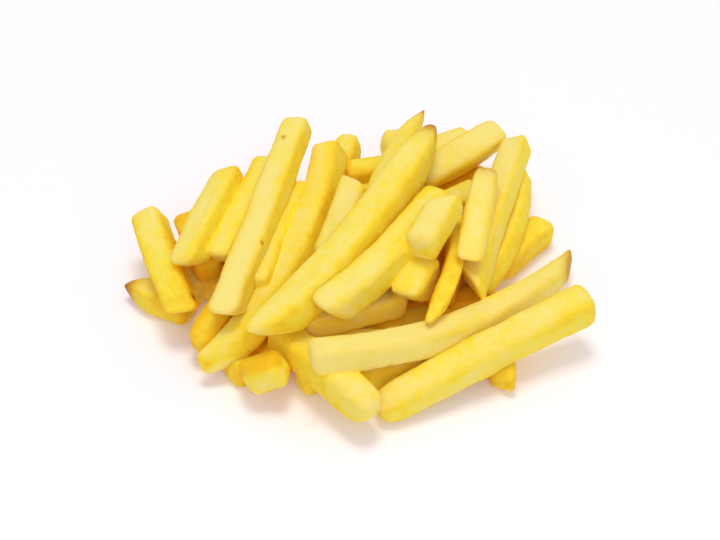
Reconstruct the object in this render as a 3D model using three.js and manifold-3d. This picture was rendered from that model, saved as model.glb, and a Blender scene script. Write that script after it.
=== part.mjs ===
// A portion of french fries lying in a loose heap on a flat surface, fused into one solid.
//
// Millimetres, +Z up, the surface at z = 0 and the heap's front towards -Y.
// Every fry starts in the place where its two ends were measured. The heap then settles: fries
// that run into each other are pushed apart and each one sinks until something carries it.

import * as THREE from "three";
import { mergeVertices } from "three/addons/utils/BufferGeometryUtils.js";
import Module from "manifold-3d";

// ---------------------------------------------------------------- driving dimensions

// The viewpoint that the seen fries were measured from: in front of the heap and above it.
const VIEW_CENTRE = new THREE.Vector3(0, -7.5, 15);
const VIEW_DISTANCE = 567;
const VIEW_ELEVATION = THREE.MathUtils.degToRad(45);

// The plain solid under the fries, a low dome with a flat base.
const CORE = { length: 92, depth: 76, height: 10, centre: [0, -5], sides: 28, rings: 5 };

// How the heap settles. Each round moves every fry a little.
const ROUNDS = 220;
const SINK = 0.14; // drop in the first rounds
const SQUASH = 0.94; // share of its half width at which a fry touches another
const HOLD = 0.012; // share of the way back to its first place, each round
const SIGHT_HOLD = 0.7; // share of a sideways slip, as seen from the front, that is undone
const SHAPE_HOLD = 0.25; // share of a change of bend that is undone
const LENGTH_HOLD = 0.15; // share of a change of length that is undone

// The shape of every fry: a long block of square section with its edges taken off.
const CHAMFER = 0.3; // taken off each corner, as a share of the half width
const BENT_STATIONS = [0.18, 0.4, 0.62, 0.84]; // of a fry with a bend or a narrowing end
const STRAIGHT_STATIONS = [0.5];
const ROLL_RANGE = 9; // degrees that a fry turns about its axis, where its row gives no roll
const ROLL_STEP = 2.4; // radians of the sine wave from one fry to the next

// How an end is cut. left is the share of the width that is left there and reach the share of the
// length that narrows. slant and tilt are how far its left edge, looking from tail to head, and its
// top edge lie ahead of its middle. Over the last rounding it shrinks to scale times the section.
const PLAIN = { left: 1, reach: 1, slant: 0, tilt: 0, scale: 0.8, rounding: 1.6 };
const ROUND = { scale: 0.6, rounding: 3.2 };

// Fries that show from the front. Each end is [right, up, height]: millimetres right of and above
// the middle of the front view, and the height of the fry's axis over the surface at the start.
const SEEN = [
  {
    name: "left_stub", width: 10.5, tail: [-78, -5.5, 5], head: [-56.5, -12.5, 5], roll: -6,
    atTail: { left: 0.3, reach: 0.5 },
  },
  { name: "under_curl", width: 9.5, tail: [-43.5, -35, 4.5], head: [-36, -29, 5] },
  { name: "front_shade", width: 8, tail: [-20.5, -38, 4], head: [-10, -33, 5] },
  {
    name: "front_peg", width: 9.8, tail: [45, -21.5, 4.5], head: [47.8, -38.3, 4.5],
    atHead: { left: 0.75, reach: 0.5, slant: 2.5 },
  },
  { name: "right_end", width: 10, tail: [45, 0.5, 5], head: [62, 14.5, 6], atHead: ROUND },
  { name: "front_low", width: 9.3, tail: [-2, -36.5, 6], head: [30, -27.5, 6] },
  { name: "front_strip", width: 8, tail: [-43, -19, 5], head: [-23, -33, 4] },
  {
    name: "chunk", width: 10.4, tail: [-38.8, -36.5, 5.5], head: [-24.8, -32, 9],
    atTail: { slant: -2 },
  },
  {
    name: "front_kick", width: 11, tail: [-28, -20, 11], head: [4.6, -47.8, 5.5], roll: -8,
    atHead: { left: 0.85, reach: 0.2, ...ROUND },
  },
  {
    name: "low_tail", width: 10, tail: [-40.5, -6.5, 10], head: [-53.8, -27, 5],
    atHead: { left: 0.75, reach: 0.35 },
  },
  {
    name: "left_prop", width: 10.6, tail: [-70.8, 18.5, 17], head: [-58.8, -14.3, 9], roll: 20,
    atHead: { slant: 2, tilt: 3.5 },
  },
  { name: "left_under", width: 9.8, tail: [-57.5, 17, 10], head: [-49.5, -1.5, 8] },
  { name: "shade_right", width: 9.3, tail: [23.5, -16, 9], head: [45.5, -9.5, 9] },
  { name: "shade_end", width: 9.3, tail: [-19.5, -18.3, 20], head: [14.5, -9.5, 16], atTail: ROUND },
  { name: "under_slope", width: 8, tail: [-20, 28, 19.5], head: [-34, -6.5, 16.5], roll: 12 },
  {
    name: "long_slope", width: 10.3, tail: [-9.7, 40.5, 19], middle: [-22.3, 2.7, 15.5],
    head: [-47.3, -30, 8.5], roll: 22, atHead: { left: 0.85, reach: 0.2, slant: -7 },
  },
  { name: "back_left", width: 9.6, tail: [-30, 36, 22], head: [-46.5, 3.2, 18], atHead: { tilt: 3 } },
  {
    name: "left_wide", width: 10.2, tail: [-42.4, 32.5, 22], head: [-57.8, 1.4, 18], roll: 22,
    atTail: { left: 0.9, reach: 0.3, slant: -1.5, ...ROUND }, atHead: { tilt: 3, ...ROUND },
  },
  {
    name: "left_long", width: 10.3, tail: [-20.3, 49.5, 29], head: [-45.4, -15, 21], roll: 11,
    atTail: { left: 0.9, reach: 0.15 }, atHead: { tilt: 3.5 },
  },
  {
    name: "back_stub", width: 9, tail: [-2.5, 44.5, 15], head: [-8.5, 26.5, 8],
    atTail: { left: 0.7, reach: 0.3 },
  },
  { name: "back_cross", width: 9.8, tail: [-5, 31, 14], head: [10.5, 33.5, 14] },
  { name: "back_flat", width: 9.3, tail: [7.5, 41, 14], head: [18.5, 42.5, 14] },
  { name: "back_right_low", width: 9.3, tail: [37, 43.5, 14], head: [20, 37.5, 15] },
  {
    name: "mid_back", width: 10.6, tail: [-1, 28, 26], head: [-10.5, 2.5, 22], roll: 15,
    atTail: { slant: 3 },
  },
  { name: "back_shade", width: 9.3, tail: [43, 31, 11], head: [25, 21, 14] },
  {
    name: "back_right", width: 11, tail: [46.2, 46, 21], head: [19, 30.3, 24], roll: -25,
    atTail: { left: 0.85, reach: 0.3 },
  },
  {
    name: "right_thin", width: 7.7, tail: [53, 31.5, 14], middle: [50.5, 13.3, 13],
    head: [41, -5.5, 12], roll: 30, atHead: { left: 0.8, reach: 0.3, slant: 3 },
  },
  {
    name: "right_long", width: 9.6, tail: [52.5, 42, 20], head: [37, -5, 18], roll: 20,
    atTail: { slant: -1 }, atHead: { slant: 6 },
  },
  {
    name: "gold_thin", width: 6.3, tail: [32, 18, 24], middle: [31, 0.5, 22], head: [22.3, -18, 20],
    atHead: { left: 0.35, reach: 0.35 },
  },
  { name: "mid_stub", width: 11, tail: [22, 3.5, 22], head: [15.5, -9.5, 20], atHead: { tilt: 2.5 } },
  {
    name: "mid_long", width: 11.3, tail: [27.5, 24.5, 31], middle: [9.4, 3.7, 28],
    head: [-12.3, -13.8, 25], atHead: { tilt: 3.5 },
  },
  {
    name: "back_tip", width: 8.3, tail: [21.3, 53.3, 23], head: [4.5, 21.5, 28], roll: 20,
    atTail: { left: 0.1, reach: 0.45 },
  },
  {
    name: "top_block", width: 10.8, tail: [29, 22.5, 39], head: [19.5, 6.5, 35], roll: 12,
    atTail: { slant: -3.5 },
  },
  {
    name: "big_sweep", width: 11.7, tail: [24.3, 47.5, 36], middle: [1.5, 13.5, 30],
    head: [-31.5, -21.2, 24], roll: 10, atTail: { left: 0.35, reach: 0.3 },
    atHead: { left: 0.8, reach: 0.1, slant: -3.5, tilt: 3 },
  },
  {
    name: "right_top", width: 9.2, tail: [42.5, 32.5, 32], head: [36.4, 3.3, 27], roll: -2,
    atTail: { left: 0.75, reach: 0.35 }, atHead: { tilt: 4 },
  },
  {
    name: "front_right", width: 10.8, tail: [6, -47.2, 5.5], head: [76.8, -10.5, 12],
    atTail: { left: 0.75, reach: 0.2 },
  },
  {
    name: "front_left", width: 9.6, tail: [-16.7, -28.7, 22], middle: [33.5, -19.5, 13.5],
    head: [70, 2.2, 5], atHead: { left: 0.6, reach: 0.35, slant: 6.5 },
  },
];

// Fries inside and behind the heap, which carry the others. Each end is its [x, y, z].
const HIDDEN = [
  { name: "bed_left", width: 10, tail: [-48, 18, 5], head: [-38, -24, 5] },
  { name: "prop_left", width: 9.5, tail: [-62, 1, 5], head: [-46, -5, 5] },
  { name: "fill_left", width: 9.5, tail: [-58, 10, 5], head: [-50, -14, 5] },
  { name: "bed_front", width: 10, tail: [-24, -40, 5], head: [14, -34, 5] },
  { name: "bed_inner", width: 9, tail: [-6, -26, 5], head: [28, -20, 5] },
  { name: "bed_mid", width: 10, tail: [-38, -2, 5], head: [2, -10, 5] },
  { name: "bed_centre", width: 10, tail: [-30, 14, 5], head: [12, 22, 5] },
  { name: "bed_back", width: 10, tail: [-46, 28, 5], head: [-6, 38, 5] },
  { name: "bed_far", width: 9.5, tail: [0, 47, 5], head: [36, 44, 5] },
  { name: "bed_right", width: 9.5, tail: [47, 38, 5], head: [48, -12, 5] },
  { name: "bed_east", width: 10, tail: [14, -4, 5], head: [38, 26, 5] },
  { name: "bed_south", width: 10, tail: [26, -34, 5], head: [46, -18, 5] },
  { name: "rim_back", width: 9, tail: [14, 58, 5], head: [40, 56, 5] },
  { name: "tier_mid", width: 10, tail: [-18, -28, 14], head: [-6, 12, 14] },
  { name: "tier_right", width: 9.5, tail: [28, -20, 14], head: [34, 18, 14] },
  { name: "tier_back", width: 9.5, tail: [-12, 34, 14], head: [22, 38, 14] },
  { name: "tier_far", width: 9, tail: [8, 18, 14], head: [40, 34, 14] },
  { name: "upper_mid", width: 10, tail: [-14, 2, 23], head: [22, 14, 23] },
  { name: "upper_east", width: 9.5, tail: [4, -16, 22], head: [34, -4, 22] },
];

const FRY_COLOUR = "#f6dc62";
const FRY_ROUGHNESS = 0.55;

const TABLE = { side: 400, depth: 40 }; // a block under the surface, wider than the heap
const NO_LENGTH = 1e-6; // axes closer than this touch
const PARALLEL = 1e-9; // a spread between two directions below this counts as none
const MERGE = 1e-4; // corners closer than this are one corner

// ---------------------------------------------------------------- where the fries start

const TOWARDS_VIEWER = new THREE.Vector3(0, -Math.cos(VIEW_ELEVATION), Math.sin(VIEW_ELEVATION));
const VIEW_UP = new THREE.Vector3(0, Math.sin(VIEW_ELEVATION), Math.cos(VIEW_ELEVATION));
const EYE = VIEW_CENTRE.clone().addScaledVector(TOWARDS_VIEWER, VIEW_DISTANCE);

// The point at the given height that the front view shows at [right, up].
function seenPoint([right, up, height]) {
  const ray = new THREE.Vector3(right, 0, 0).addScaledVector(VIEW_UP, up).add(VIEW_CENTRE).sub(EYE);
  return EYE.clone().addScaledVector(ray, (height - EYE.z) / ray.z);
}

function halfway(a, b) {
  return a.map((value, axis) => (value + b[axis]) / 2);
}

// A fry as three joints on its axis: tail, middle and head.
function startFry(row, place, index) {
  const start = [row.tail, row.middle ?? halfway(row.tail, row.head), row.head].map(place);
  const atTail = { ...PLAIN, ...row.atTail };
  const atHead = { ...PLAIN, ...row.atHead };
  return {
    width: row.width,
    atTail,
    atHead,
    bends: Boolean(row.middle) || atTail.left < 1 || atHead.left < 1,
    start,
    joints: start.map((point) => point.clone()),
    length: start[0].distanceTo(start[2]),
    radius: (row.width / 2) * SQUASH,
    roll: THREE.MathUtils.degToRad(row.roll ?? ROLL_RANGE * Math.sin(index * ROLL_STEP)),
  };
}

function startHeap() {
  const seen = SEEN.map((row, index) => startFry(row, seenPoint, index));
  for (const fry of seen) {
    fry.sight = fry.start.map((point) => point.clone().sub(EYE).normalize());
  }
  const toPoint = (ends) => new THREE.Vector3(...ends);
  const hidden = HIDDEN.map((row, index) => startFry(row, toPoint, seen.length + index));
  return [...seen, ...hidden];
}

// ---------------------------------------------------------------- how the heap settles

const clamp = THREE.MathUtils.clamp;

// Shares along segments a0-a1 and b0-b1 at which the two come closest.
function closestShares(a0, a1, b0, b1) {
  const along = a1.clone().sub(a0);
  const across = b1.clone().sub(b0);
  const gap = a0.clone().sub(b0);
  const a = along.lengthSq();
  const e = across.lengthSq();
  const b = along.dot(across);
  const c = along.dot(gap);
  const f = across.dot(gap);
  const spread = a * e - b * b;
  const first = spread > PARALLEL ? clamp((b * f - c * e) / spread, 0, 1) : 0.5;
  const free = (b * first + f) / e;
  const second = clamp(free, 0, 1);
  return [second === free ? first : clamp((b * second - c) / a, 0, 1), second];
}

// Adds to both fries' pushes what one pair of half fries needs to come apart.
function pushHalves(one, i, other, j) {
  const [a0, a1] = [one.joints[i], one.joints[i + 1]];
  const [b0, b1] = [other.joints[j], other.joints[j + 1]];
  const [s, t] = closestShares(a0, a1, b0, b1);
  const gap = a0.clone().lerp(a1, s).sub(b0.clone().lerp(b1, t));
  const distance = gap.length();
  const overlap = one.radius + other.radius - distance;
  if (overlap <= 0) {
    return;
  }
  const push = gap.multiplyScalar(overlap / 2 / Math.max(distance, NO_LENGTH));
  const shares = [[one, i, 1 - s, 1], [one, i + 1, s, 1], [other, j, 1 - t, -1], [other, j + 1, t, -1]];
  for (const [fry, joint, share, sign] of shares) {
    fry.push[joint].addScaledVector(push, share * sign);
    fry.weight[joint] += share;
  }
}

function pushApart(heap) {
  for (const fry of heap) {
    fry.push = fry.joints.map(() => new THREE.Vector3());
    fry.weight = fry.joints.map(() => 0);
  }
  for (let one = 0; one < heap.length; one++) {
    for (let other = one + 1; other < heap.length; other++) {
      for (const i of [0, 1]) {
        for (const j of [0, 1]) {
          pushHalves(heap[one], i, heap[other], j);
        }
      }
    }
  }
  for (const fry of heap) {
    fry.joints.forEach((point, i) => point.addScaledVector(fry.push[i], 1 / Math.max(fry.weight[i], 1)));
  }
}

// How far the middle of a fry lies off the line between its ends.
function bendOf([tail, middle, head]) {
  return middle.clone().sub(tail.clone().lerp(head, 0.5));
}

function keepShape(fry) {
  const error = bendOf(fry.start).sub(bendOf(fry.joints)).multiplyScalar(SHAPE_HOLD);
  const [tail, middle, head] = fry.joints;
  middle.add(error);
  tail.addScaledVector(error, -0.5);
  head.addScaledVector(error, -0.5);
}

// A seen fry may slide towards the viewer or away, but hardly sideways.
function keepInSight(fry) {
  fry.joints.forEach((point, i) => {
    const reach = point.clone().sub(EYE);
    const sideways = reach.clone().addScaledVector(fry.sight[i], -reach.dot(fry.sight[i]));
    point.addScaledVector(sideways, -SIGHT_HOLD);
  });
}

function keepLength(fry) {
  const [tail, , head] = fry.joints;
  const span = head.clone().sub(tail);
  const error = (span.length() - fry.length) / span.length();
  tail.addScaledVector(span, (LENGTH_HOLD * error) / 2);
  head.addScaledVector(span, (-LENGTH_HOLD * error) / 2);
}

function settle(heap) {
  for (let round = 0; round < ROUNDS; round++) {
    const drop = SINK * Math.min(1, 2 * (1 - round / ROUNDS));
    for (const fry of heap) {
      fry.joints.forEach((point) => (point.z -= drop));
    }
    pushApart(heap);
    for (const fry of heap) {
      keepShape(fry);
      if (fry.sight) {
        keepInSight(fry);
      }
      fry.joints.forEach((point, i) => point.lerp(fry.start[i], HOLD));
      keepLength(fry);
      fry.joints.forEach((point) => (point.z = Math.max(point.z, fry.width / 2)));
    }
  }
}

// ---------------------------------------------------------------- the shape of one fry

// Corners of a square from -1 to 1 with its corners taken off, anticlockwise.
function sectionCorners() {
  const cut = 1 - CHAMFER;
  const corners = [];
  for (const [x, y] of [[1, 1], [-1, 1], [-1, -1], [1, -1]]) {
    const pair = [new THREE.Vector2(x, y * cut), new THREE.Vector2(x * cut, y)];
    corners.push(...(x * y > 0 ? pair : pair.reverse()));
  }
  return corners;
}

const CORNERS = sectionCorners();

// The fry's axis: the smooth arc through its three joints.
function axisOf(fry) {
  const [tail, middle, head] = fry.joints;
  const pull = middle.clone().multiplyScalar(2).sub(tail.clone().lerp(head, 0.5));
  return new THREE.QuadraticBezierCurve3(tail, pull, head);
}

// How much of its full section a fry keeps at a share of its length from a narrowing end.
function tipScale({ left, reach }, share) {
  const q = clamp(share / reach, 0, 1);
  return left + (1 - left) * q * (2 - q);
}

function fryStations(fry) {
  const { atTail, atHead, length } = fry;
  const body = fry.bends ? BENT_STATIONS : STRAIGHT_STATIONS;
  return [
    { ...atTail, at: 0 },
    { ...atTail, at: atTail.rounding / length, scale: 1 },
    ...body.map((at) => ({ at, scale: 1, slant: 0, tilt: 0 })),
    { ...atHead, at: 1 - atHead.rounding / length, scale: 1 },
    { ...atHead, at: 1 },
  ];
}

function fryRing(fry, axis, { at, scale, slant, tilt }) {
  const centre = axis.getPoint(at);
  const along = axis.getTangent(at);
  const left = new THREE.Vector3(0, 0, 1).cross(along).normalize();
  const top = along.clone().cross(left);
  const half = (fry.width / 2) * scale * tipScale(fry.atTail, at) * tipScale(fry.atHead, 1 - at);
  return CORNERS.map((corner) => {
    const turned = corner.clone().rotateAround(new THREE.Vector2(), fry.roll);
    return centre
      .clone()
      .addScaledVector(left, turned.x * half)
      .addScaledVector(top, turned.y * half)
      .addScaledVector(along, corner.x * slant + corner.y * tilt);
  });
}

// A closed mesh of rings joined by quads, with a fan over each end.
function fryGeometry(fry) {
  const axis = axisOf(fry);
  const rings = fryStations(fry).map((station) => fryRing(fry, axis, station));
  const sides = CORNERS.length;
  const faces = [];
  for (let ring = 0; ring + 1 < rings.length; ring++) {
    for (let side = 0; side < sides; side++) {
      const a = ring * sides + side;
      const b = ring * sides + ((side + 1) % sides);
      faces.push(a, b, b + sides, a, b + sides, a + sides);
    }
  }
  const last = (rings.length - 1) * sides;
  for (let side = 1; side + 1 < sides; side++) {
    faces.push(0, side + 1, side, last, last + side, last + side + 1);
  }
  const geometry = new THREE.BufferGeometry();
  geometry.setFromPoints(rings.flat());
  geometry.setIndex(faces);
  return geometry;
}

// ---------------------------------------------------------------- the core and the table

// A low dome: a lathe profile that runs from the flat base up a quarter of an ellipse.
function coreGeometry() {
  const profile = [new THREE.Vector2(0, 0)];
  for (let ring = 0; ring <= CORE.rings; ring++) {
    const angle = (ring / CORE.rings) * (Math.PI / 2);
    const reach = ring === CORE.rings ? 0 : Math.cos(angle);
    profile.push(new THREE.Vector2((reach * CORE.length) / 2, Math.sin(angle) * CORE.height));
  }
  const geometry = new THREE.LatheGeometry(profile, CORE.sides);
  geometry.rotateX(Math.PI / 2);
  geometry.scale(1, CORE.depth / CORE.length, 1);
  geometry.translate(...CORE.centre, 0);
  return geometry;
}

// All that lies under the surface: what a fry would reach below it is pressed flat.
function underTable() {
  const geometry = new THREE.BoxGeometry(TABLE.side, TABLE.side, TABLE.depth);
  geometry.translate(0, 0, -TABLE.depth / 2);
  return geometry;
}

// ---------------------------------------------------------------- one fused solid

const wasm = await Module();
wasm.setup();

function toSolid(geometry) {
  const bare = new THREE.BufferGeometry();
  bare.setAttribute("position", geometry.getAttribute("position"));
  bare.setIndex(geometry.getIndex());
  const merged = mergeVertices(bare, MERGE);
  const mesh = new wasm.Mesh({
    numProp: 3,
    vertProperties: Float32Array.from(merged.getAttribute("position").array),
    triVerts: Uint32Array.from(merged.getIndex().array),
  });
  return new wasm.Manifold(mesh);
}

// The outer skin alone: hollows sealed inside the heap are filled and loose scraps left out.
function largestSkin(solid) {
  return solid.decompose().reduce((best, skin) => (skin.volume() > best.volume() ? skin : best));
}

function toGeometry(solid) {
  const { vertProperties, triVerts } = solid.getMesh();
  const geometry = new THREE.BufferGeometry();
  geometry.setAttribute("position", new THREE.BufferAttribute(vertProperties, 3));
  geometry.setIndex(new THREE.BufferAttribute(triVerts, 1));
  return geometry;
}

function fuseHeap(heap) {
  let solid = toSolid(coreGeometry());
  for (const fry of heap) {
    solid = solid.add(toSolid(fryGeometry(fry)));
  }
  return toGeometry(largestSkin(solid.subtract(toSolid(underTable()))));
}

// ---------------------------------------------------------------- the part

const heap = startHeap();
settle(heap);

const fries = new THREE.Mesh(
  fuseHeap(heap),
  new THREE.MeshStandardMaterial({ color: FRY_COLOUR, roughness: FRY_ROUGHNESS, metalness: 0 }),
);
fries.name = "fries";

const portion = new THREE.Group();
portion.name = "french_fries_portion";
portion.add(fries);

export default portion;
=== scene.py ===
"""A portion of french fries in a loose heap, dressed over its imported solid.

Fried potato sticks with a soft matt crust lie on a plain pale surface. Each fry is a bmesh block with
rounded edges that is made uneven, cut at its ends and bent along its own axis. The heap settles first:
fries that run into each other are pushed apart and each one sinks until something carries it.
The tables are in millimetres, +Z up and the heap's front towards -Y. Meshes are in metres.
"""

import logging
import math
import random
from dataclasses import dataclass, field, replace
from enum import Enum

import bmesh
import bpy
import numpy as np
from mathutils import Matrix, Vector, noise


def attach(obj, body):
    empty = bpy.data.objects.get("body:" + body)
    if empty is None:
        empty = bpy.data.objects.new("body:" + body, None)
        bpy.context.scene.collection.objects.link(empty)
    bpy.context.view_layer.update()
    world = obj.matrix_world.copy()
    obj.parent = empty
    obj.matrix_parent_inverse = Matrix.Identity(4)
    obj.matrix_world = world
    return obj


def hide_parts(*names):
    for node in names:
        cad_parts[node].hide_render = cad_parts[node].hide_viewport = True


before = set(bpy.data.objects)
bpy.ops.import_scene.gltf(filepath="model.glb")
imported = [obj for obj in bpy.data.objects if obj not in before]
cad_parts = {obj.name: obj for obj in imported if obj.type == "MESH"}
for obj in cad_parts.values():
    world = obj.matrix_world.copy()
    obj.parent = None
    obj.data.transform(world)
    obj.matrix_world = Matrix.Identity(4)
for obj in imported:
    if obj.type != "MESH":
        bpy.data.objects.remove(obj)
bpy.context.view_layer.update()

LOG = logging.getLogger("fries")

MM = 0.001
NODE = "fries"
BODY = "root"

Point = tuple[float, float, float]
Tree = bpy.types.NodeTree
Socket = bpy.types.NodeSocket

# ---- the fries


class Kind(Enum):
    """The sorts of fry in the portion, by how far the fryer has taken them and, in part, by painted shade:
    most of the crisp sort lie in shade, and the sort under the heap is painted a deeper gold for the
    crevices.
    """

    PALE = "fries_pale"
    GOLDEN = "fries_golden"
    CRISP_AND_SHADED = "fries_crisp_and_shaded"
    UNDER = "fries_under"


@dataclass(frozen=True)
class End:
    """How one end of a fry is cut and fried.

    Attributes:
        left: Share of the width that is left at the end.
        reach: Share of the fry's length over which it narrows.
        slant: How far the left edge, looking from tail to head, lies ahead of the middle, in mm.
        tilt: How far the top edge lies ahead of the middle, in mm.
        dome: How domed the end is, from 0, cut flat, to 1, a full round.
        brown: How brown the end is, from 0 to 1.
    """

    left: float = 1.0
    reach: float = 1.0
    slant: float = 0.0
    tilt: float = 0.0
    dome: float = 0.4
    brown: float = 0.0


@dataclass(frozen=True)
class Scorch:
    """A brown spot on a fry.

    Attributes:
        share: Where it is, as a share of the way from tail to head.
        turn: Where it is round the axis, in degrees from the top towards the left.
        reach: Its radius in mm.
        brown: How brown it is, from 0 to 1.
    """

    share: float
    turn: float
    reach: float
    brown: float


@dataclass(frozen=True)
class Fry:
    """One fry as it was measured, before the heap settles.

    Attributes:
        name: What it is called in the log.
        width: Its width and thickness in mm.
        tail: Where its axis starts: right, up and height for a seen fry, x, y and z for a hidden one.
        head: Where its axis ends.
        middle: Where the middle of its axis is, if it bends.
        at_tail: How its tail is cut.
        at_head: How its head is cut.
        roll: How far it turns about its axis, in degrees, if that was measured.
        tone: How golden its top is, from 0, pale, through 1, golden, to 2, deep gold. For fries that lie in
            the shade of others it is set deeper, which is painted shade.
        sides: How much more golden its sides are than its top and its underside. This is painted shade on
            the faces that get less light; below 0 the top is the shaded face.
        rise: How much more golden its tail is than its head. Where one end lies in the shade of other fries,
            this is painted shade.
        kind: Which piece of the model it belongs to.
        spots: Its brown spots.
    """

    name: str
    width: float
    tail: Point
    head: Point
    middle: Point | None = None
    at_tail: End = End()
    at_head: End = End()
    roll: float | None = None
    tone: float = 0.5
    sides: float = 0.45
    rise: float = 0.0
    kind: Kind = Kind.GOLDEN
    spots: tuple[Scorch, ...] = ()
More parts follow.
